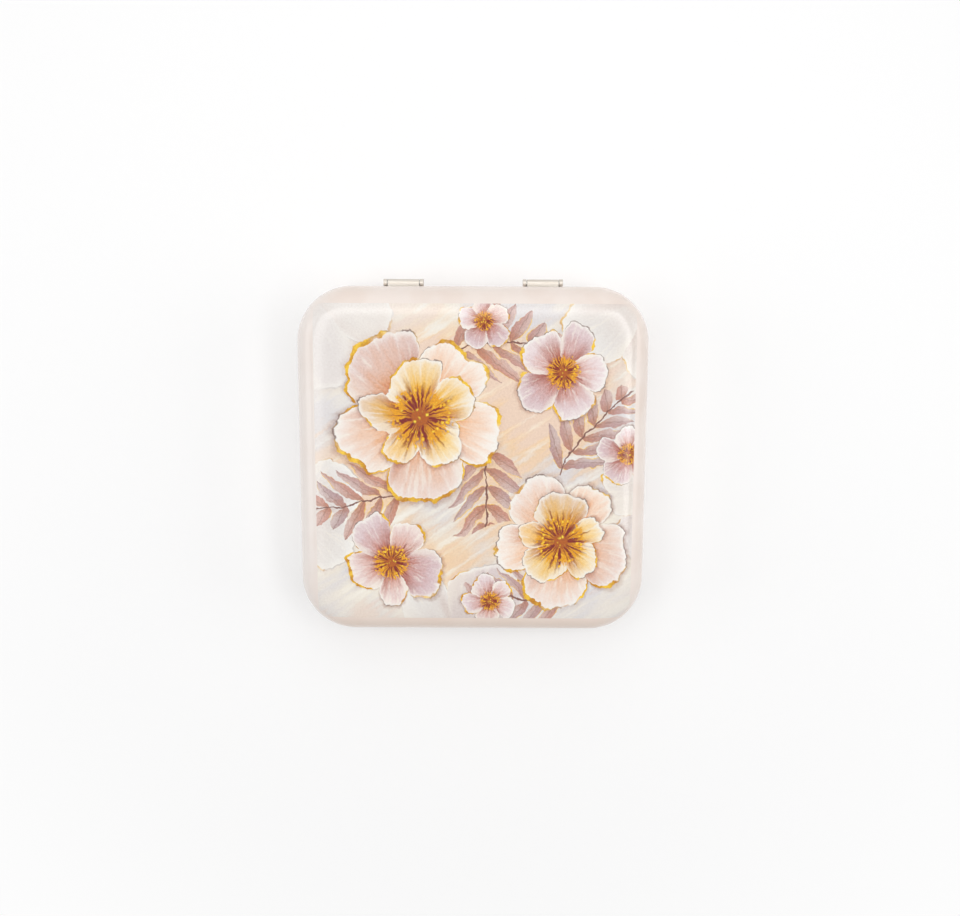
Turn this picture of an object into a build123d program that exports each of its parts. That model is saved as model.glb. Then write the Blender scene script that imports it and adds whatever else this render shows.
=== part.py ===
"""Square hinged tin for sewing things, as drawn from thin tinplate.

Two drawn shells, a body and a lid, turn on two short wire pins at the rear. Each hinge is
curled from the shells' own edges: the body's neck gives the wide knuckle in the middle, and
the lid's skirt gives a narrow ear at each end. Millimetres. +X is right, +Y is the hinge
side, +Z is up, and the origin is the middle of the underside.
"""

import os
from math import asin, degrees

from build123d import *

# The shells
tin_side = 95.0  # body and lid are the same square outside
corner_radius = 15.0  # of the square's corners
sheet = 0.3  # tinplate
body_height = 16.2  # from the underside to the step that the lid closes on
lid_depth = 10.0  # from the lid's edge to its top
parting_gap = 0.3  # between the lid's edge and the body's step
shoulder_radius = 6.5  # where the lid's top turns down into its skirt
heel_radius = 2.5  # where the body's wall turns into its bottom

# The edges
hem_height = 1.8  # the lid's edge is folded inwards by this much
hem_fold = 0.35  # what the folded edge adds to the sheet
hem_radius = 0.3  # the fold is round below
lid_clearance = 0.5  # from the folded edge to the body's neck
neck_height = 5.2  # from the step to the top of the rolled rim
rim_radius = 0.8  # outside of the rolled rim
rim_slot = 35.0  # degrees of the roll that stay open inside the neck
step_radius = 0.5  # outer edge of the body's step
neck_root_radius = 0.4  # where the step meets the neck

# The bottom panel is pressed up, so that the tin stands on the band round it
panel_inset = 6.0  # from the wall to the panel's step
panel_rise = 0.8
panel_slope = 45.0  # degrees of the step from upright

# The closing dimples in the front of the lid's skirt
dimple_spacing = 44.0
dimple_rise = 2.6  # from the lid's edge to the dimples' centres
dimple_depth = 0.35
dimple_radius = 3.0  # of the round punch

# The hinges
hinge_spacing = 37.6
wire_diameter = 1.5
wire_clearance = 0.05  # the lid's ears turn on the wire, the body's knuckle grips it
knuckle_width = 8.5
knuckle_gap = 0.15  # from the knuckle to each ear
ear_width = 1.0
wire_recess = 0.3  # the wire stops short of each ear's end
curl_slot = 70.0  # degrees of each curl that stay open
notch_clearance = 0.4  # above the knuckle, in the lid's skirt
slit = 0.4  # cut beside each knuckle and ear
knuckle_bend = 0.5  # inside radius where the neck turns out into the knuckle

# Places that follow
half = tin_side / 2
lid_edge = body_height + parting_gap
neck_inset = sheet + hem_fold + lid_clearance
rim_centre = body_height + neck_height - rim_radius
wire_radius = wire_diameter / 2
ear_bore = wire_radius + wire_clearance
axis_y = half + ear_bore
axis_z = lid_edge + ear_bore + sheet
knuckle_top = axis_z + wire_radius + sheet
notch_width = knuckle_width + 2 * knuckle_gap
hinge_width = notch_width + 2 * ear_width
ear_offset = (notch_width + ear_width) / 2
hinge_centres = {"left": -hinge_spacing / 2, "right": hinge_spacing / 2}


def rounded_square(inset):
    """The tin's outline, moved inwards."""
    side = tin_side - 2 * inset
    RectangleRounded(side, side, corner_radius - inset)


def curl(centre, bore, start, turn, lead=()):
    """The section of a sheet that bends once along its lead, then curls round a bore."""
    with BuildLine() as middle:
        if lead:
            FilletPolyline(*lead, radius=knuckle_bend + sheet / 2)
        CenterArc(centre, bore + sheet / 2, start, turn)
    trace(middle.line, line_width=sheet)


def cut_rear_wall(x, width, bottom, top, inner, outer):
    """Cuts a box out of a rear wall."""
    with Locations((x, (inner + outer) / 2, (bottom + top) / 2)):
        Box(width, outer - inner, top - bottom, mode=Mode.SUBTRACT)


os.makedirs("parts", exist_ok=True)

# Body: a drawn tray with a step, a neck that stands inside the lid and a rim rolled inwards
with BuildPart() as body_shell:
    with BuildSketch():
        rounded_square(0)
    extrude(amount=body_height)
    fillet(body_shell.faces().sort_by(Axis.Z)[0].edges(), heel_radius)
    fillet(body_shell.faces().sort_by(Axis.Z)[-1].edges(), step_radius)
    with BuildSketch():
        rounded_square(panel_inset)
    extrude(amount=panel_rise, taper=panel_slope, mode=Mode.SUBTRACT)
    with BuildSketch(Plane.XY.offset(body_height)):
        rounded_square(neck_inset)
    extrude(amount=rim_centre - body_height)
    step_edges = body_shell.edges(Select.LAST).filter_by_position(Axis.Z, body_height, body_height)
    fillet(step_edges, neck_root_radius)
    offset(amount=-sheet, openings=body_shell.faces().sort_by(Axis.Z)[-1])

    rim_inset = neck_inset + rim_radius
    rim_half = half - rim_inset
    corners = [(-rim_half, -rim_half), (rim_half, -rim_half), (rim_half, rim_half), (-rim_half, rim_half)]
    with BuildLine(Plane.XY.offset(rim_centre)) as rim_line:
        rim_path = FilletPolyline(*corners, radius=corner_radius - rim_inset, close=True)
    inwards = Vector(0, 0, 1).cross(rim_path % 0)
    with BuildSketch(Plane(rim_path @ 0, x_dir=inwards, z_dir=rim_path % 0)):
        curl((0, 0), rim_radius - sheet, 180, rim_slot - 360)
    sweep(path=rim_line.line)

    neck_middle = half - neck_inset - sheet / 2
    bend_start = knuckle_top - sheet - knuckle_bend
    rim_inside = half - rim_inset - 2 * rim_radius
    for x in hinge_centres.values():
        slot_width = knuckle_width + 2 * slit
        cut_rear_wall(x, slot_width, bend_start, rim_centre + 2 * rim_radius, rim_inside, half)
        with BuildSketch(Plane.YZ.offset(x)):
            strip_height = knuckle_top - sheet / 2
            strip = [(neck_middle, bend_start - sheet), (neck_middle, strip_height), (axis_y, strip_height)]
            curl((axis_y, axis_z), wire_radius, 90, curl_slot - 360, strip)
        extrude(amount=knuckle_width / 2, both=True)

# Lid: a drawn cover with a wide round shoulder and its edge folded inwards
with BuildPart() as lid_shell:
    with BuildSketch(Plane.XY.offset(lid_edge)):
        rounded_square(0)
    extrude(amount=lid_depth)
    fillet(lid_shell.faces().sort_by(Axis.Z)[-1].edges(), shoulder_radius)
    offset(amount=-sheet, openings=lid_shell.faces().sort_by(Axis.Z)[0])
    with BuildSketch(Plane.XY.offset(lid_edge)):
        rounded_square(sheet)
        offset(amount=-hem_fold, mode=Mode.SUBTRACT)
    extrude(amount=hem_height)
    fillet(lid_shell.faces().sort_by(Axis.Z)[0].edges(), hem_radius)

    dimple_x = dimple_spacing / 2
    dimple_y = -half + dimple_depth - dimple_radius
    cap_latitude = degrees(asin((dimple_radius - dimple_depth) / (dimple_radius + sheet)))
    with Locations(*[(x, dimple_y, lid_edge + dimple_rise) for x in (-dimple_x, dimple_x)]):
        Sphere(dimple_radius + sheet, rotation=(-90, 0, 0), arc_size1=cap_latitude, align=None)
        Sphere(dimple_radius, mode=Mode.SUBTRACT)

    for x in hinge_centres.values():
        below = lid_edge - sheet
        cut_rear_wall(x, hinge_width + 2 * slit, below, axis_z, half - neck_inset, half + sheet)
        cut_rear_wall(x, notch_width, below, knuckle_top + notch_clearance, half - neck_inset, half + sheet)
        cut_rear_wall(x, hinge_width, axis_z, lid_edge + hem_height, half - neck_inset, half - sheet)
        for side in (-1, 1):
            with BuildSketch(Plane.YZ.offset(x + side * ear_offset)):
                curl((axis_y, axis_z), ear_bore, 180, 360 - curl_slot)
            extrude(amount=ear_width / 2, both=True)

body_shell.part.label = "body_shell"
lid_shell.part.label = "lid_shell"
export_step(body_shell.part, "parts/body_shell.step")
export_step(lid_shell.part, "parts/lid_shell.step")

# Hinge wires: gripped in the body's knuckles, and the lid's ears turn on their ends
for side, x in hinge_centres.items():
    wire_length = hinge_width - 2 * wire_recess
    with BuildPart() as hinge_wire:
        with BuildSketch(Plane.YZ.offset(x)):
            with Locations((axis_y, axis_z)):
                Circle(wire_radius)
        extrude(amount=wire_length / 2, both=True)
        chamfer(hinge_wire.edges().filter_by(GeomType.CIRCLE), wire_diameter / 10)
    hinge_wire.part.label = f"hinge_wire_{side}"
    export_step(hinge_wire.part, f"parts/hinge_wire_{side}.step")
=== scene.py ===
"""A square hinged sewing tin of printed tinplate, on a white table in soft studio light.

Metres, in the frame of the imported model: +X is right, +Y is the hinge side, +Z is up.
"""

from functools import cached_property
from math import cos, pi, radians, sin, tan, tau

import bmesh
import bpy
from bmesh.types import BMEdge, BMVert
from mathutils import Matrix, Vector


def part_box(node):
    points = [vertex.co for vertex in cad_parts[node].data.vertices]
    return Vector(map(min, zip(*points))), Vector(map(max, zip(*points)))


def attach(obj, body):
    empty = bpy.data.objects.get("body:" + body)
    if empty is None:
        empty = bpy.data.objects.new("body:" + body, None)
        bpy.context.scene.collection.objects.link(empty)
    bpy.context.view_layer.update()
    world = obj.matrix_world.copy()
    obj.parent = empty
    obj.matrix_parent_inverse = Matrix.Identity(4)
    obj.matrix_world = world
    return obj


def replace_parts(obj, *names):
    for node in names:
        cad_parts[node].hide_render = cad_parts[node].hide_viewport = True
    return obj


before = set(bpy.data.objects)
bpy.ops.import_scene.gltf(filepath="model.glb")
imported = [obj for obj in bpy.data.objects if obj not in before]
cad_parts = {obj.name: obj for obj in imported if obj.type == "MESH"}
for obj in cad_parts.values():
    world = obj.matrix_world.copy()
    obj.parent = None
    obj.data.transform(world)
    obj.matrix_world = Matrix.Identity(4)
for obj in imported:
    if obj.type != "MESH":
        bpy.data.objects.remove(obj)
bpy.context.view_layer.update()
MM = 0.001
X_AXIS = (1, 0, 0)
Z_AXIS = (0, 0, 1)

# Lengths that count as nothing, when places are compared and when points are welded
hair = 1e-6
weld = 1e-7

# The drawn shells, sized from the frame
lid_low, lid_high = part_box("lid_shell")
body_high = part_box("body_shell")[1]
wire_low, wire_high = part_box("hinge_wire_right")
half = lid_high.x
lid_edge = lid_low.z
lid_top = lid_high.z
axis_y = (wire_low.y + wire_high.y) / 2
axis_z = (wire_low.z + wire_high.z) / 2
wire_radius = (wire_high.z - wire_low.z) / 2
hinge_x = (wire_low.x + wire_high.x) / 2

# What a drawing would add: the sheet and its bends
sheet = 0.3 * MM
corner_radius = 15 * MM
shoulder_radius = 6.5 * MM
crown_radius = 30 * MM
crown_turn = radians(10)
heel_radius = 2.5 * MM
hem_fold = 0.35 * MM
hem_height = 1.8 * MM
lid_clearance = 0.5 * MM
parting_gap = 0.3 * MM
step_radius = 0.5 * MM
neck_root_radius = 0.4 * MM
rim_radius = 0.8 * MM
rim_slot = radians(35)
panel_inset = 6 * MM
panel_rise = 0.8 * MM
panel_bend = 0.5 * MM
edge_round = 0.05 * MM
side_step = 13 * MM

# How many steps each bend is drawn in
corner_steps = 20
crown_steps = 5
shoulder_steps = 16
hem_steps = 10
panel_steps = 4
heel_steps = 10
neck_steps = 6
rim_steps = 26
knuckle_steps = 6
curl_steps = 24

# The hinges: a knuckle of the body between two ears of the lid
knuckle_width = 8.5 * MM
knuckle_gap = 0.15 * MM
ear_width = 1 * MM
slit = 0.4 * MM
notch_clearance = 0.4 * MM
knuckle_bend = 0.5 * MM
knuckle_slot = radians(70)
ear_slot = radians(50)

# The closing dimples in the front of the lid's skirt
dimple_x = 22 * MM
dimple_z = lid_edge + 2.6 * MM
dimple_depth = 0.35 * MM
dimple_reach = 1.7 * MM
dimple_step = 0.24 * MM
dimple_flank = 1.5

# What follows from these sizes
straight = half - corner_radius
neck_inset = sheet + hem_fold + lid_clearance
step_z = lid_edge - parting_gap
rim_centre_z = body_high.z - rim_radius
knuckle_top = axis_z + wire_radius + sheet
notch_half = knuckle_width / 2 + knuckle_gap
ear_end = notch_half + ear_width


def near(low, high, step):
    """Even places from low to high, about a step apart."""
    count = max(1, round((high - low) / step))
    return [low + (high - low) * i / count for i in range(count + 1)]


def pick(geom, *kinds):
    """What is of the given kinds, out of what an operator made."""
    return [part for part in geom if isinstance(part, kinds)]


def spin(bm, geom, centre, axis, turn, steps):
    """Spins geometry round an axis through a centre, and returns what it ends in."""
    made = bmesh.ops.spin(bm, geom=geom, cent=centre, axis=axis, angle=turn, steps=steps)
    return made["geom_last"]


class Section:
    """A sheet's section in the plane across the front side, drawn as a chain of edges."""

    def __init__(self, bm, inset, height):
        self.bm = bm
        self.end = bm.verts.new(self.place(inset, height))

    def place(self, inset, height):
        return Vector((-straight, inset - half, height))

    def to(self, *stops):
        """Straight on to each (inset, height) in turn."""
        for inset, height in stops:
            made = bmesh.ops.extrude_vert_indiv(self.bm, verts=[self.end])
            self.end = made["verts"][0]
            self.end.co = self.place(inset, height)

    def bend(self, inset, height, turn, steps):
        """Round a centre by a turn; a positive one goes from up towards the outside."""
        self.end = spin(self.bm, [self.end], self.place(inset, height), X_AXIS, turn, steps)[0]


def go_round(bm, stops):
    """Draws the section round the tin: along each side through its stops, then round a corner."""
    last = list(bm.edges) + list(bm.verts)
    for side in range(4):
        ahead = Matrix.Rotation(side * pi / 2, 3, "Z")
        for start, stop in zip(stops[side], stops[side][1:]):
            last = bmesh.ops.extrude_edge_only(bm, edges=pick(last, BMEdge))["geom"]
            way = ahead @ Vector((stop - start, 0, 0))
            bmesh.ops.translate(bm, verts=pick(last, BMVert), vec=way)
        corner = ahead @ Vector((straight, -straight, 0))
        last = spin(bm, pick(last, BMEdge, BMVert), corner, Z_AXIS, pi / 2, corner_steps)
    bmesh.ops.remove_doubles(bm, verts=bm.verts[:], dist=weld)


def close_middle(bm):
    """Closes the flat middle of the sheet, inside the corners' centres."""
    inner = straight + hair
    edges = []
    for edge in bm.edges:
        if edge.is_boundary and all(abs(v.co.x) < inner and abs(v.co.y) < inner for v in edge.verts):
            edges.append(edge)
    bmesh.ops.contextual_create(bm, geom=edges)


def cut_rear(bm, x, reach, low, high, inner, outer):
    """Cuts a window out of the rear wall, reach to each side of x."""
    gone = []
    for face in bm.faces:
        centre = face.calc_center_median()
        if abs(centre.x - x) < reach and low < centre.z < high and inner < centre.y < outer:
            gone.append(face)
    bmesh.ops.delete(bm, geom=gone, context="FACES")


def edge_along(bm, left, right, y, z):
    """The edges that run in X from left to right at y, z."""
    found = []
    for edge in bm.edges:
        level = all(abs(v.co.y - y) < hair and abs(v.co.z - z) < hair for v in edge.verts)
        if level and all(left - hair < v.co.x < right + hair for v in edge.verts):
            found.append(edge)
    return found


def roll(bm, edges, centre_y, centre_z, turn, steps):
    """Curls a sheet on from its edges about a line in X, and returns the last edges."""
    ends = dict.fromkeys(vert for edge in edges for vert in edge.verts)
    geom = [*edges, *ends]
    return pick(spin(bm, geom, (0, centre_y, centre_z), X_AXIS, turn, steps), BMEdge)


def finish_sheet(bm, name, body, finishes):
    """Makes the drawn surface a sheet of tinplate: its outer face, its inner face and its cut edges."""
    bmesh.ops.recalc_face_normals(bm, faces=bm.faces[:])
    mesh = bpy.data.meshes.new(name)
    bm.to_mesh(mesh)
    bm.free()
    mesh.shade_smooth()
    for finish in finishes:
        mesh.materials.append(finish)
    piece = bpy.data.objects.new(name, mesh)
    bpy.context.scene.collection.objects.link(piece)
    wall = piece.modifiers.new("sheet", "SOLIDIFY")
    wall.thickness = sheet
    wall.offset = -1
    wall.use_even_offset = True
    wall.material_offset = 1
    wall.material_offset_rim = 2
    soft = piece.modifiers.new("edges", "BEVEL")
    soft.width = edge_round
    soft.segments = 2
    soft.limit_method = "ANGLE"
    soft.angle_limit = radians(50)
    soft.harden_normals = True
    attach(piece, body)
    return piece


def make_lid(finishes):
    """The drawn cover: a flat top, a round shoulder, a skirt with a folded hem, and the hinge ears."""
    bm = bmesh.new()
    fold = (sheet + hem_fold) / 2
    crown_start = shoulder_radius * (1 - sin(crown_turn)) + crown_radius * sin(crown_turn)
    shoulder_z = lid_top - crown_radius + (crown_radius - shoulder_radius) * cos(crown_turn)
    section = Section(bm, corner_radius, lid_top)
    section.to((crown_start, lid_top))
    section.bend(crown_start, lid_top - crown_radius, crown_turn, crown_steps)
    section.bend(shoulder_radius, shoulder_z, pi / 2 - crown_turn, shoulder_steps)
    rows = near(dimple_z + dimple_reach, dimple_z - dimple_reach, -dimple_step)
    rows += [knuckle_top + notch_clearance, axis_z]
    rows = sorted(set(z for z in rows if z < shoulder_z), reverse=True)
    section.to(*[(0, z) for z in rows if z > lid_edge + fold], (0, lid_edge + fold))
    section.bend(fold, lid_edge + fold, pi, hem_steps)
    section.to((2 * fold, axis_z), (2 * fold, lid_edge + hem_height))
    rear = rear_stops([notch_half, ear_end, ear_end + slit])
    go_round(bm, [front_stops(), side_stops(), rear, side_stops()])
    close_middle(bm)
    press_dimples(bm)
    for x in (-hinge_x, hinge_x):
        inner, outer = half - neck_inset, half + sheet
        cut_rear(bm, x, ear_end + slit, 0, axis_z, inner, outer)
        cut_rear(bm, x, notch_half, 0, knuckle_top + notch_clearance, inner, outer)
        cut_rear(bm, x, ear_end, axis_z, lid_edge + hem_height, inner, half - sheet)
        for left in (x - ear_end, x + notch_half):
            root = edge_along(bm, left, left + ear_width, half, axis_z)
            roll(bm, root, axis_y, axis_z, 2 * pi - ear_slot, curl_steps)
    return finish_sheet(bm, "lid", "lid", finishes)


def make_body(finishes):
    """The drawn tray: a raised bottom, a wall, a step, a neck with a rolled rim, and the knuckles."""
    bm = bmesh.new()
    section = Section(bm, corner_radius, panel_rise)
    slope = pi / 4
    rise = panel_bend * tan(slope / 2)
    upper = panel_inset + panel_rise
    section.to((upper + rise, panel_rise))
    section.bend(upper + rise, panel_rise - panel_bend, slope, panel_steps)
    section.to((panel_inset + rise * cos(slope), rise * sin(slope)))
    section.bend(panel_inset - rise, panel_bend, -slope, panel_steps)
    section.to((heel_radius, 0))
    section.bend(heel_radius, heel_radius, -pi / 2, heel_steps)
    section.to((0, step_z - step_radius))
    section.bend(step_radius, step_z - step_radius, -pi / 2, neck_steps)
    section.to((neck_inset - neck_root_radius, step_z))
    section.bend(neck_inset - neck_root_radius, step_z + neck_root_radius, pi / 2, neck_steps)
    bend_z = knuckle_top - sheet - knuckle_bend
    section.to((neck_inset, bend_z), (neck_inset, rim_centre_z))
    section.bend(neck_inset + rim_radius, rim_centre_z, rim_slot - 2 * pi, rim_steps)
    rear = rear_stops([knuckle_width / 2, knuckle_width / 2 + slit])
    go_round(bm, [side_stops(), side_stops(), rear, side_stops()])
    close_middle(bm)
    neck_y = half - neck_inset
    for x in (-hinge_x, hinge_x):
        rim_inner = neck_y - 3 * rim_radius
        cut_rear(bm, x, knuckle_width / 2 + slit, bend_z, body_high.z + sheet, rim_inner, half)
        root = edge_along(bm, x - knuckle_width / 2, x + knuckle_width / 2, neck_y, bend_z)
        top = roll(bm, root, neck_y + knuckle_bend, bend_z, -pi / 2, knuckle_steps)
        out = bmesh.ops.extrude_edge_only(bm, edges=top)["geom"]
        bmesh.ops.translate(bm, verts=pick(out, BMVert), vec=(0, axis_y - neck_y - knuckle_bend, 0))
        roll(bm, pick(out, BMEdge), axis_y, axis_z, knuckle_slot - 2 * pi, curl_steps)
    return finish_sheet(bm, "body", "body", finishes)


def side_stops():
    """Even places along a plain side."""
    return near(-straight, straight, side_step)


def front_stops():
    """Places along the front: its ends, and close together at the dimples."""
    fine = [s * dimple_x + d for s in (-1, 1) for d in near(-dimple_reach, dimple_reach, dimple_step)]
    return sorted([-straight, straight] + fine)


def rear_stops(offsets):
    """Places along the rear that the hinges' cuts need."""
    marks = [s * hinge_x + t * d for s in (-1, 1) for t in (-1, 1) for d in offsets]
    return sorted([-straight, 0.0, straight] + marks)


def press_dimples(bm):
    """Presses the two dimples into the front of the skirt."""
    for x in (-dimple_x, dimple_x):
        for vert in bm.verts:
            away = Vector((vert.co.x - x, vert.co.z - dimple_z)).length / dimple_reach
            if vert.co.y < -half + hair and away < 1:
                vert.co.y += dimple_depth * (1 - away**2) ** dimple_flank


def paint(code):
    """A colour as it reads on screen, written RRGGBB, as a shader's four numbers."""
    parts = [int(code[i : i + 2], 16) / 255 for i in (0, 2, 4)]
    return (*[p / 12.92 if p <= 0.04045 else ((p + 0.055) / 1.055) ** 2.4 for p in parts], 1)


class Number:
    """A number that varies over a surface. Arithmetic on it adds Math nodes."""

    def __init__(self, finish, socket):
        self.finish = finish
        self.socket = socket

    def math(self, operation, *terms):
        """One Math node on the terms."""
        return self.finish.node("Math", {"operation": operation}, terms)

    def __add__(self, other):
        return self.math("ADD", self, other)

    def __sub__(self, other):
        return self.math("SUBTRACT", self, other)

    def __rsub__(self, other):
        return self.math("SUBTRACT", other, self)

    def __mul__(self, other):
        return self.math("MULTIPLY", self, other)

    def __truediv__(self, other):
        return self.math("DIVIDE", self, other)

    def __pow__(self, other):
        return self.math("POWER", self, other)

    def __mod__(self, other):
        return self.math("FLOORED_MODULO", self, other)

    def __abs__(self):
        return self.math("ABSOLUTE", self)

    def __lt__(self, other):
        return self.math("LESS_THAN", self, other)

    def __gt__(self, other):
        return self.math("GREATER_THAN", self, other)

    __radd__ = __add__
    __rmul__ = __mul__


class Finish:
    """A material or a world, made up node by node."""

    def __init__(self, owner):
        self.owner = owner
        owner.use_nodes = True
        self.tree = owner.node_tree
        self.tree.nodes.clear()

    @cached_property
    def place(self):
        """Where the surface is on its piece, in millimetres."""
        spot = self.node("TexCoord", out="Object")
        return self.node("Mapping", {}, {"Vector": spot, "Scale": (1000,) * 3})

    def node(self, kind, settings=None, inputs=(), out=0):
        """Adds a node: its settings first, then its sockets by name or in order."""
        node = self.tree.nodes.new("ShaderNode" + kind)
        for key, value in (settings or {}).items():
            if key == "stops":
                while len(node.color_ramp.elements) < len(value):
                    node.color_ramp.elements.new(1)
                for element, (at, colour) in zip(node.color_ramp.elements, value):
                    element.position = at
                    element.color = colour
            else:
                setattr(node, key, value)
        for key, value in inputs.items() if isinstance(inputs, dict) else enumerate(inputs):
            socket = self.socket(node.inputs, key)
            if isinstance(value, Number):
                self.tree.links.new(value.socket, socket)
            else:
                socket.default_value = value
        return Number(self, self.socket(node.outputs, out)) if node.outputs else None

    @staticmethod
    def socket(sockets, key):
        if isinstance(key, int):
            return sockets[key]
        return next(s for s in sockets if key in (s.identifier, s.name))

    def mix(self, share, first, second, way="MIX"):
        """The first colour with a share of the second."""
        inputs = {"Factor_Float": share, "A_Color": first, "B_Color": second}
        return self.node("Mix", {"data_type": "RGBA", "blend_type": way}, inputs, "Result_Color")

    def ease(self, value, low, high):
        """0 at low and 1 at high, smoothly."""
        inputs = {"Value": value, "From Min": low, "From Max": high}
        return self.node("MapRange", {"interpolation_type": "SMOOTHSTEP"}, inputs, "Result")

    def noise(self, place, scale, detail, dimensions="3D", out="Fac"):
        """A cloudy pattern from 0 to 1, mostly near 0.5."""
        inputs = {"Vector": place, "Scale": scale, "Detail": detail}
        return self.node("TexNoise", {"noise_dimensions": dimensions}, inputs, out)

    def length(self, place):
        return self.vector("LENGTH", place, out="Value")

    def whole(self, value):
        return self.node("Math", {"operation": "FLOOR"}, [value])

    def chance(self, value):
        """A steady random number from 0 to 1 for each whole value."""
        return self.node("TexWhiteNoise", {"noise_dimensions": "1D"}, {"W": value}, "Value")

    def vector(self, operation, *inputs, out="Vector"):
        return self.node("VectorMath", {"operation": operation}, inputs, out)

    def parts(self, place):
        """A place's three numbers."""
        split = self.node("SeparateXYZ", {}, {"Vector": place}).socket.node
        return [Number(self, s) for s in split.outputs]

    def combine(self, x, y, z):
        return self.node("CombineXYZ", {}, [x, y, z])

    def surface(self, values, bumps=()):
        """Ends the material in one shader, with bumps of (height, strength, distance in metres)."""
        normal = {}
        for height, strength, distance in bumps:
            inputs = {"Height": height, "Strength": strength, "Distance": distance, **normal}
            normal = {"Normal": self.node("Bump", {}, inputs)}
        shader = self.node("BsdfPrincipled", {}, {**values, **normal})
        self.node("OutputMaterial", {}, {"Surface": shader})
        return self.owner


# The lacquer and the tin
LACQUER = paint("e7d8ce")
LACQUER_PALE = paint("ebdfd7")
# Painted shade: the lacquer's front, where less light falls, warmer and darker
LACQUER_FRONT_SHADE = paint("e7d1c1")
# Painted light: the lacquer's left side, paler and cooler
LACQUER_LEFT_LIGHT = paint("e9e4e1")
CHAMPAGNE = paint("d6d0c7")
CHAMPAGNE_DEEP = paint("c9c0b4")
TINPLATE = paint("d5d4d0")
STEEL = paint("b9b8b4")
STEEL_DARK = paint("85827d")

# The print's grounds and leaves
WASH_LILAC = paint("dddbe0")
WASH_IVORY = paint("f4ecdc")
WASH_PEACH = paint("f7d3a6")
WASH_BLUSH = paint("efd8cb")
BORDER_WASH = paint("eae3dc")
CORNER_WASH = paint("eeebe8")
LEAF_LILAC = paint("bd9c9f")
LEAF_ROSE = paint("d28d78")
LEAF_PALE = paint("e6d8d2")
LEAF_RIB = paint("86594f")
WEAVE_SHADE = paint("a89486")

# The print's petals
IVORY = paint("f8f0e2")
LIP_WHITE = paint("f8f5ee")
MAUVE_TINGE = paint("e2cbd0")
PEACH_TINGE = paint("fbdfc4")
LAP_SHADE = paint("c9744c")
CAST_SHADE = paint("b5806c")
INK = paint("6c4438")
GOLD_DARK = paint("d08c12")
GOLD_LIGHT = paint("fdd03c")
RUST = paint("841200")
AMBER_DEEP = paint("b85c04")
AMBER = paint("f2a806")
YELLOW = paint("ffe03c")
BLUSH_PETAL = {0.06: "b03a0e", 0.24: "ec8a46", 0.46: "f8c49a", 0.74: "f9e0cd", 1.0: "fbf5ee"}
PEACH_PETAL = {0.06: "9c2604", 0.26: "f09410", 0.5: "fcc854", 0.76: "fbdfa8", 1.0: "fbf2df"}
MAUVE_PETAL = {0.06: "a03a14", 0.26: "d88e76", 0.5: "e8c4be", 0.76: "efdfe0", 1.0: "f9f4f2"}
PALE_PETAL = {0.06: "e2d6cf", 0.3: "e3dad6", 0.55: "e6e1dd", 0.8: "ece9e5", 1.0: "f4f2ee"}

# Where the finishes change, in millimetres; seen from above, the print is a square on the lid
print_centre_x = 0.6
print_half = 43.0
print_fade = 0.06
print_low = lid_top / MM - 3.5
print_full = lid_top / MM - 1.2
hem_mark = lid_edge / MM
lacquer_end = step_z / MM - 0.08
# Where the painted shade in front and the painted light on the left begin, and where they are full, in
# millimetres
painted_tint_start = -36
painted_tint_full = -47

# The print's washes and its canvas, in millimetres
border_start = 31
faded_corner = (-42, 42, 0)
faded_reach = 38
faded_full = 8
middle_reach = 24
corner_reach = 54
dab_reach = (0.8, 0.8, 0)
brush_turn = radians(35)
brush_stroke = (18, 2.4, 1)
warm_shift = (70, 30, 0)
weave_pitch = 0.62
slub_shift = 1.2

# How often each pattern repeats in a millimetre
dab_scale = 0.8
cool_scale = 0.022
warm_scale = 0.028
slub_scale = 2.3
mottle_scale = 0.09
peel_scale = 1.1
chip_scale = 2.6
cloud_scale = 0.12
burr_scale = 9
tin_grain_scale = (0.15, 6, 6)
wire_line_scale = (0.2, 12, 12)

# How deep the skin of the lacquer and the grain of the metal are
peel_depth = 0.02 * MM
grain_depth = 0.01 * MM

# How much lacquer has chipped, and how much sooner it chips on the hem and the foot
chip_levels = 0.72, 0.75
hem_wear = 0.1
foot_wear = 0.12

# A blossom's proportions, in units of its reach
petal_count = 5
petal_length = 0.86
length_spread = 0.2
tip_power = 2.6
tip_drop = 0.3
ruffle_depth = 0.3
side_wander = 0.9
side_swirl = 0.22
streak_scale = 14.4
fleck_scale = 6.6
inner_ring = 0.68
throat_reach = 0.4
thread_reach = 0.38
bead_ring = 0.27
bead_scale = 17
eye_reach = 0.11

# A sprig's proportions, in units of its reach; its stem runs from stem_start
stem_start = -0.9
stem_length = 1.75
stem_bow = 0.12
stem_drop = 0.1
stem_half = 0.016
leaf_count = 6
leaf_pitch = 3.6
leaf_lean = 0.85
leaf_length = 0.56
leaf_spread = 0.12
leaf_fullness = 3

# Each motif's x, y, reach and turn in degrees, and a place that lies far from every motif
far_off = (9, 9, 0)
PALE_BLOSSOMS = [
    (-44, 46, 27, 20),
    (46, 44, 25, 40),
    (-48, -13, 20, 0),
    (-4, -50, 24, 100),
    (52, -8, 20, 60),
]
LARGE_BLOSSOMS = [(-14, 13, 24, 0), (24, -21, 19.5, 140)]
SMALL_BLOSSOMS = [
    (24, 25, 13, 30),
    (-22, -27, 14, 80),
    (5, -38, 8, 0),
    (42, 3, 8.5, 200),
    (3, 38.5, 7.5, 50),
]
SPRIGS = [
    (9, 33, 18, 15),
    (4, -10, 18, -80),
    (-33, -11, 17, 200),
    (32, 10, 17, 60),
    (12, -37, 16, 190),
]


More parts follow.
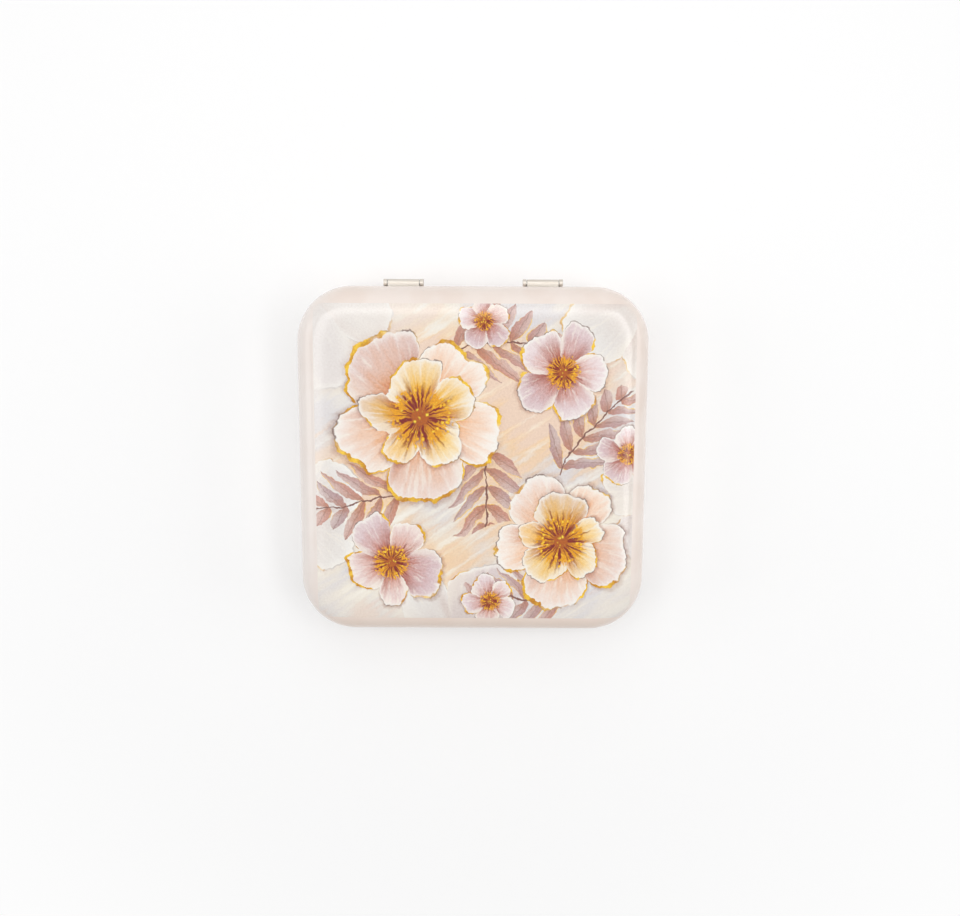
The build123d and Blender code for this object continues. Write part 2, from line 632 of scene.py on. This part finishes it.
def gather(f, place, spots, reach=1.2):
    """Each spot's own place in units of its size, and a number that tells the spots apart."""
    local, tone = far_off, 0.0
    for i, (x, y, size, turn) in enumerate(spots):
        inputs = {"Location": (x, y, 0), "Rotation": (0, 0, radians(turn)), "Scale": (size,) * 3}
        own = f.node("Mapping", {"vector_type": "TEXTURE"}, {"Vector": place, **inputs})
        inside = f.length(own) < reach
        inputs = {"Factor_Float": inside, "A_Vector": local, "B_Vector": own}
        local = f.node("Mix", {"data_type": "VECTOR"}, inputs, "Result_Vector")
        inputs = {"Factor_Float": inside, "A_Float": tone, "B_Float": i + 1.0}
        tone = f.node("Mix", {"data_type": "FLOAT"}, inputs, "Result_Float")
    return local, tone


def petals(f, ground, spot, turn, tints, reach=1.0, gold=0.05, strength=1.0):
    """Lays a ring of petals on the ground colour, each lapping over the next."""
    local, tone = spot
    x, y, _ = f.parts(local)
    radius = f.length(local)
    out_x, out_y, _ = f.parts(f.vector("NORMALIZE", local))
    seed = tone * 7.3 + turn * 11
    slow = f.noise(f.combine(out_x, out_y, seed), 1.3, 1)
    ruffle = f.noise(f.combine(out_x, out_y, seed + radius * 0.4), 3.5, 3)
    angle = f.node("Math", {"operation": "ARCTAN2"}, [y, x]) * (petal_count / tau)
    angle = angle + turn + slow * side_wander + radius * side_swirl
    number = f.whole(angle)
    beside = angle - number
    chance = f.chance(number % petal_count + seed)
    tip = petal_length + chance * length_spread - abs(beside * 2 - 1) ** tip_power * tip_drop
    rim = (tip + (ruffle - 0.5) * ruffle_depth) * reach
    depth = radius / rim

    across = f.combine(out_x * streak_scale, out_y * streak_scale, radius * 2.6 + seed)
    streak = f.noise(across, 1, 4)
    fleck = f.noise(f.combine(x * fleck_scale, y * fleck_scale, seed), 1, 3)
    stops = [(at, paint(code)) for at, code in tints.items()]
    shade = depth + (streak - 0.5) * 0.5 + (fleck - 0.5) * 0.3
    blade = f.node("ValToRGB", {"stops": stops}, [shade], "Color")
    blade = f.mix(f.ease(chance, 0.35, 1) * 0.6, blade, MAUVE_TINGE, "MULTIPLY")
    blade = f.mix(f.ease(chance, 0.35, 0) * 0.5, blade, PEACH_TINGE, "MULTIPLY")
    lapped = f.ease(beside, 0.34, 0) * f.ease(depth, 1.05, 0.55)
    blade = f.mix(lapped * 0.75 * strength, blade, LAP_SHADE, "MULTIPLY")
    fold = f.ease(beside, 0.7, 0.98) * f.ease(depth, 0.3, 0.7)
    blade = f.mix(fold * 0.6, blade, IVORY)
    ridge = f.ease(streak, 0.56, 0.66) * f.ease(depth, 0.2, 0.6)
    blade = f.mix(ridge * 0.4, blade, IVORY)
    blade = f.mix(f.ease(depth, 0.9, 0.985) * 0.7, blade, LIP_WHITE)
    ink = f.ease(depth, 0.976, 0.99) * f.ease(ruffle, 0.4, 0.52)
    blade = f.mix(ink * 0.8 * strength, blade, INK)
    patch = f.ease(f.noise(f.combine(out_x, out_y, seed + 3), 1.9, 2), 0.48, 0.6)
    edge = 1 - patch * gold
    leaf = f.mix(f.ease(fleck, 0.35, 0.65), GOLD_DARK, GOLD_LIGHT)
    blade = f.mix(f.ease(depth - edge, -0.003, 0.004) * patch, blade, leaf)

    low = out_x * -0.5 - out_y * 0.75
    cast = f.ease(depth, 1.1, 0.98) * f.ease(low, -0.9, 0.9)
    ground = f.mix(cast * 0.5 * strength, ground, CAST_SHADE, "MULTIPLY")
    return f.mix(f.ease(depth, 1.006, 0.994), ground, blade)


def stamens(f, ground, spot):
    """The deep throat, the threads with their beads, and the eye."""
    local, tone = spot
    x, y, _ = f.parts(local)
    radius = f.length(local)
    out_x, out_y, _ = f.parts(f.vector("NORMALIZE", local))
    rays = f.noise(f.combine(out_x, out_y, tone * 3 + radius * 0.25), 9, 2)
    throat = f.ease(radius + (rays - 0.5) * 0.8, throat_reach, 0.12)
    ground = f.mix(throat, ground, RUST)
    end = f.ease(radius + (rays - 0.5) * 0.5, thread_reach, thread_reach - 0.05)
    thread = f.ease(rays, 0.46, 0.54) * end
    ground = f.mix(thread, ground, f.mix(f.ease(radius, 0.06, 0.24), AMBER_DEEP, AMBER))
    inputs = {"Vector": f.combine(x, y, tone), "Scale": bead_scale}
    cell = f.node("TexVoronoi", {}, inputs, "Distance")
    ring = f.ease(abs(radius - bead_ring + (rays - 0.5) * 0.3), 0.1, 0.06)
    bead = f.ease(cell, 0.42, 0.32) * ring
    ground = f.mix(bead, ground, f.mix(f.ease(cell, 0.32, 0.08), AMBER, YELLOW))
    pips = f.mix(f.ease(cell, 0.45, 0.15), AMBER_DEEP, YELLOW)
    return f.mix(f.ease(radius, eye_reach, eye_reach - 0.025), ground, pips)


def sprigs(f, ground, place):
    """Leafy sprigs: slanting leaves in pairs along a stem."""
    local, tone = gather(f, place, SPRIGS, reach=1.35)
    x, y, _ = f.parts(local)
    sway = f.noise(f.combine(x, y, tone), 2.4, 2)
    along = x - stem_start
    out = abs(y + (sway - 0.5) * 0.22 + along * along * stem_bow - stem_drop)
    slant = (along - out * leaf_lean) * leaf_pitch + (sway - 0.5) * 0.6
    number = f.whole(slant)
    beside = (slant - number) * 2 - 1
    chance = f.chance(number + tone * 5)
    length = (leaf_length + chance * leaf_spread) * f.ease(number, leaf_count + 1.5, 0.5)
    run = out / length
    width = run**0.8 * (1 - run) * leaf_fullness
    share = abs(beside) / width
    grown = (number > -0.5) * (number < leaf_count - 0.5) * (run < 1)
    veins = f.noise(f.combine(beside * 3, run * 9 + beside * 4, number + tone), 2, 3)
    blade = f.mix(chance, LEAF_LILAC, LEAF_ROSE)
    blade = f.mix(f.ease(beside, -0.7, 0.7) * 0.55 + (veins - 0.5) * 0.7, blade, LEAF_PALE)
    blade = f.mix(f.ease(run + (veins - 0.5) * 0.6, 0.55, 0.05) * 0.6, blade, AMBER_DEEP)
    blade = f.mix(f.ease(abs(beside), 0.1, 0.02) * 0.5, blade, LEAF_RIB)
    blade = f.mix(f.ease(share, 0.8, 0.98) * f.ease(sway, 0.47, 0.55), blade, GOLD_LIGHT)
    ground = f.mix(f.ease(share, 1.03, 0.97) * grown * 0.88, ground, blade)
    ends = f.ease(along, 0, 0.03) * f.ease(along, stem_length, stem_length - 0.05)
    return f.mix(f.ease(out, stem_half, 0.009) * ends, ground, LEAF_RIB)


def washes(f, place):
    """The ground of the print: thin brushed washes of grey lilac, ivory, blush and peach."""
    inputs = {"Vector": place, "Rotation": (0, 0, brush_turn), "Scale": brush_stroke}
    brush = f.noise(f.node("Mapping", {"vector_type": "TEXTURE"}, inputs), 1, 4, "2D")
    stroke = (brush - 0.5) * 0.4
    cool = f.noise(place, cool_scale, 3, "2D") + stroke
    warm = f.noise(f.vector("ADD", place, warm_shift), warm_scale, 3, "2D") - stroke
    corner = f.ease(f.length(place), middle_reach, corner_reach)
    ground = f.mix(f.ease(cool, 0.4, 0.62), WASH_LILAC, WASH_IVORY)
    ground = f.mix(f.ease(warm - corner * 0.22, 0.36, 0.6), ground, WASH_PEACH)
    ground = f.mix(f.ease(warm - stroke - corner * 0.1, 0.5, 0.72) * 0.7, ground, WASH_BLUSH)
    return f.mix(f.ease(brush, 0.52, 0.75) * 0.5, ground, LIP_WHITE)


def floral_print(f, place):
    """A scattered print of open blossoms and leafy sprigs with touches of gold."""
    dabs = f.noise(place, dab_scale, 3, "2D", out="Color")
    dabs = f.vector("SUBTRACT", dabs, (0.5, 0.5, 0.5))
    place = f.vector("MULTIPLY_ADD", dabs, dab_reach, place)
    ground = washes(f, place)
    spot = gather(f, place, PALE_BLOSSOMS)
    ground = petals(f, ground, spot, 0.45, PALE_PETAL, gold=0.03, strength=0.4)
    x, y, _ = f.parts(place)
    border = f.ease(abs(x), border_start, print_half) + f.ease(abs(y), border_start, print_half)
    ground = f.mix(f.ease(border, 0, 1.4) * 0.6, ground, BORDER_WASH)
    corner = f.length(f.vector("SUBTRACT", place, faded_corner))
    ground = f.mix(f.ease(corner, faded_reach, faded_full) * 0.6, ground, CORNER_WASH)
    ground = sprigs(f, ground, place)
    spot = gather(f, place, LARGE_BLOSSOMS)
    ground = petals(f, ground, spot, 0.1, BLUSH_PETAL)
    ground = petals(f, ground, spot, 0.6, PEACH_PETAL, reach=inner_ring)
    ground = stamens(f, ground, spot)
    spot = gather(f, place, SMALL_BLOSSOMS)
    ground = petals(f, ground, spot, 0.3, MAUVE_PETAL, gold=0.07)
    return stamens(f, ground, spot)


def weave(f, place):
    """The print's canvas grain, about 0 in its hollows and 1 on its threads."""
    x, y, _ = f.parts(place)
    slub = f.noise(place, slub_scale, 3, "2D")
    across = f.node("Math", {"operation": "SINE"}, [(x + slub * slub_shift) * (tau / weave_pitch)])
    along = f.node("Math", {"operation": "SINE"}, [(y - slub * slub_shift) * (tau / weave_pitch)])
    return 0.5 + across * along * 0.3 + (slub - 0.5) * 2.4


def lacquer(f):
    """The blush ground lacquer, with painted shade that makes it warmer and darker in front and painted
    light that makes it paler and cooler on the left, and its orange-peel skin.
    """
    x, y, _ = f.parts(f.place)
    mottle = f.noise(f.place, mottle_scale, 3)
    peel = f.noise(f.place, peel_scale, 2)
    ground = f.mix(f.ease(mottle, 0.35, 0.65), LACQUER, LACQUER_PALE)
    # Painted shade: warmer and darker towards the front
    ground = f.mix(f.ease(y, painted_tint_start, painted_tint_full) * 0.6, ground, LACQUER_FRONT_SHADE)
    # Painted light: paler and cooler towards the left
    return f.mix(f.ease(x, painted_tint_start, painted_tint_full) * 0.5, ground, LACQUER_LEFT_LIGHT), peel


def chipping(f):
    """How near the lacquer is to chipping off, in small patches."""
    return f.noise(f.place, chip_scale, 4)


def varnish(peel):
    """The satin varnish over the lacquer."""
    return {
        "Roughness": 0.4 + (peel - 0.5) * 0.1,
        "Specular IOR Level": 0.1,
        "Coat Weight": 1,
        "Coat Roughness": 0.17,
    }


def lid_finish():
    """Blush lacquer with the floral print on top, under a satin varnish."""
    f = Finish(bpy.data.materials.new("lid_print"))
    x, y, z = f.parts(f.place)
    place = f.combine(x, y, 0)
    ground, peel = lacquer(f)
    threads = weave(f, place)
    picture = floral_print(f, place)
    ink = f.ease(f.node("RGBToBW", {}, [picture]), 0.92, 0.35)
    picture = f.mix(threads * (0.1 + ink * 0.35), picture, WEAVE_SHADE, "MULTIPLY")
    ends = print_half + print_fade, print_half - print_fade
    printed = f.ease(abs(x - print_centre_x), *ends) * f.ease(abs(y), *ends)
    printed = printed * f.ease(z, print_low, print_full)
    colour = f.mix(printed, ground, picture)
    chips = chipping(f)
    rubbed = f.ease(z, hem_mark + 0.45, hem_mark + 0.05)
    worn = f.ease(chips + rubbed * hem_wear, *chip_levels)
    values = {"Base Color": f.mix(worn, colour, TINPLATE), "Metallic": worn, **varnish(peel)}
    return f.surface(values, [(peel, 0.12, peel_depth), (threads * printed, 0.1, peel_depth)])


def tin_grain(f):
    """The rolling grain of tinplate: fine lines along X."""
    return f.noise(f.node("Mapping", {}, {"Vector": f.place, "Scale": tin_grain_scale}), 1, 4)


def body_finish():
    """Blush lacquer up to the step; the neck and its rolled rim are bare tinplate."""
    f = Finish(bpy.data.materials.new("body_lacquer"))
    _, _, z = f.parts(f.place)
    ground, peel = lacquer(f)
    grain = tin_grain(f)
    chips = chipping(f)
    rubbed = f.ease(z, 0.35, 0.0)
    worn = f.ease(chips + rubbed * foot_wear, *chip_levels)
    neck = f.ease(z + (chips - 0.5) * 0.3, lacquer_end, lacquer_end + 0.08)
    bare = f.node("Math", {"operation": "MAXIMUM"}, [worn, neck])
    tin = f.mix(f.ease(grain, 0.3, 0.7), CHAMPAGNE_DEEP, CHAMPAGNE)
    values = {"Base Color": f.mix(bare, ground, tin), "Metallic": bare, **varnish(peel)}
    return f.surface(values, [(peel, 0.12, peel_depth)])


def inside_finish():
    """The sheet's unprinted face: tinplate under a champagne varnish, with its rolling grain."""
    f = Finish(bpy.data.materials.new("inside_tin"))
    grain = tin_grain(f)
    cloud = f.noise(f.place, cloud_scale, 3)
    tin = f.mix(f.ease(grain + (cloud - 0.5) * 0.15, 0.3, 0.7), CHAMPAGNE_DEEP, CHAMPAGNE)
    roughness = 0.32 + grain * 0.14 + (cloud - 0.5) * 0.04
    values = {"Base Color": tin, "Metallic": 0.55, "Roughness": roughness}
    return f.surface(values, [(grain, 0.1, grain_depth)])


def cut_finish():
    """The sheet's sheared edge: bright steel with fine burr lines."""
    f = Finish(bpy.data.materials.new("cut_edge"))
    burr = f.noise(f.place, burr_scale, 3)
    steel = f.mix(burr, STEEL_DARK, STEEL)
    return f.surface({"Base Color": steel, "Metallic": 1, "Roughness": 0.3 + burr * 0.2})


def wire_finish():
    """Drawn steel wire: fine lines along its length."""
    f = Finish(bpy.data.materials.new("wire_steel"))
    lines = f.noise(f.node("Mapping", {}, {"Vector": f.place, "Scale": wire_line_scale}), 1, 3)
    steel = f.mix(lines, STEEL_DARK, STEEL)
    values = {"Base Color": steel, "Metallic": 1, "Roughness": 0.22 + lines * 0.2}
    return f.surface(values, [(lines, 0.15, grain_depth)])


lid_skin, body_skin, inside, cut = lid_finish(), body_finish(), inside_finish(), cut_finish()
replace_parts(make_lid([lid_skin, inside, cut]), "lid_shell")
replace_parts(make_body([body_skin, inside, cut]), "body_shell")
wire_steel = wire_finish()
for side in ("left", "right"):
    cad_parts[f"hinge_wire_{side}"].material_slots[0].material = wire_steel


# The table, and the plain white that the camera sees in part near the tin and alone far from it
table_half = 4
table_gap = 0.02 * MM
TABLE_WHITE = (0.97, 0.97, 0.97, 1)
PLAIN_WHITE = (0.98, 0.98, 0.98, 1)
plain_near = 0.25
plain_reach = 110, 220

# The light of the room, and each softbox's name, place, size (along the horizon, across it) and power
room_level = 0.475
SOFTBOXES = [
    ("softbox_left", (-0.46, 0.06, 0.86), (0.65, 0.24), 1.12),
    ("softbox_right", (0.45, 0.06, 0.86), (0.65, 0.16), 1.27),
    ("softbox_rear", (0.05, 0.55, 0.85), (0.9, 0.6), 1.5),
    ("strip_rear", (0, 0.27, 0.9), (0.7, 0.12), 0.8),
    ("panel_left", (-0.78, 0.06, 0.4), (0.6, 0.4), 1.05),
    ("panel_right", (0.78, 0.06, 0.4), (0.6, 0.4), 1.2),
    ("panel_rear", (0, 0.8, 0.42), (0.7, 0.35), 0.4),
]

# The camera: its place, its turns about its own axes, and its lens in millimetres
camera_place = Vector((2.71, 46.97, 309.9)) * MM
camera_pan = radians(0.133)
camera_tilt = radians(-9.043)
camera_roll = radians(0.224)
lens_length = 40
film_width = 36


def make_table():
    """A white table; far from the tin the camera sees it plain white."""
    bm = bmesh.new()
    bmesh.ops.create_grid(bm, x_segments=1, y_segments=1, size=table_half)
    bmesh.ops.translate(bm, verts=bm.verts[:], vec=(0, 0, -table_gap))
    mesh = bpy.data.meshes.new("table")
    bm.to_mesh(mesh)
    bm.free()
    f = Finish(bpy.data.materials.new("table_white"))
    away = f.length(f.place)
    camera_ray = f.node("LightPath", out="Is Camera Ray")
    near_white = f.node("BsdfDiffuse", {}, {"Color": TABLE_WHITE})
    far_white = f.node("Emission", {}, {"Color": PLAIN_WHITE, "Strength": 1})
    plain = plain_near + f.ease(away, *plain_reach) * (1 - plain_near)
    shader = f.node("MixShader", {}, [camera_ray * plain, near_white, far_white])
    f.node("OutputMaterial", {}, {"Surface": shader})
    mesh.materials.append(f.owner)
    table = bpy.data.objects.new("table", mesh)
    bpy.context.scene.collection.objects.link(table)


def light_the_room(level):
    """Even white light from all round; seen directly or in a reflection it is plain white."""
    world = bpy.data.worlds.new("studio")
    bpy.context.scene.world = world
    f = Finish(world)
    rays = [f.node("LightPath", out=f"Is {kind} Ray") for kind in ("Camera", "Glossy", "Transmission")]
    seen = f.ease(rays[0] + rays[1] + rays[2], 0, 1)
    white = f.node("Background", {}, {"Color": (1, 1, 1, 1), "Strength": level + seen * (1 - level)})
    f.node("OutputWorld", {}, {"Surface": white})


def hang_softbox(name, place, size, energy):
    """A softbox that faces the tin."""
    lamp = bpy.data.lights.new(name, "AREA")
    lamp.shape = "RECTANGLE"
    lamp.size, lamp.size_y = size
    lamp.energy = energy
    box = bpy.data.objects.new(name, lamp)
    bpy.context.scene.collection.objects.link(box)
    box.location = place
    box.rotation_mode = "QUATERNION"
    box.rotation_quaternion = Vector(place).to_track_quat("Z", "Y")


def set_camera():
    """Looks down on the tin from just behind its middle."""
    lens = bpy.data.cameras.new("camera")
    lens.sensor_width = film_width
    lens.lens = lens_length
    lens.clip_start = 0.01
    camera = bpy.data.objects.new("camera", lens)
    bpy.context.scene.collection.objects.link(camera)
    pan = Matrix.Rotation(camera_pan, 4, "Y")
    tilt = Matrix.Rotation(camera_tilt, 4, "X")
    turn = Matrix.Rotation(camera_roll, 4, "Z")
    camera.matrix_world = Matrix.Translation(camera_place) @ pan @ tilt @ turn
    bpy.context.scene.camera = camera


make_table()
light_the_room(room_level)
for softbox in SOFTBOXES:
    hang_softbox(*softbox)
set_camera()
bpy.context.scene.view_settings.view_transform = "Standard"
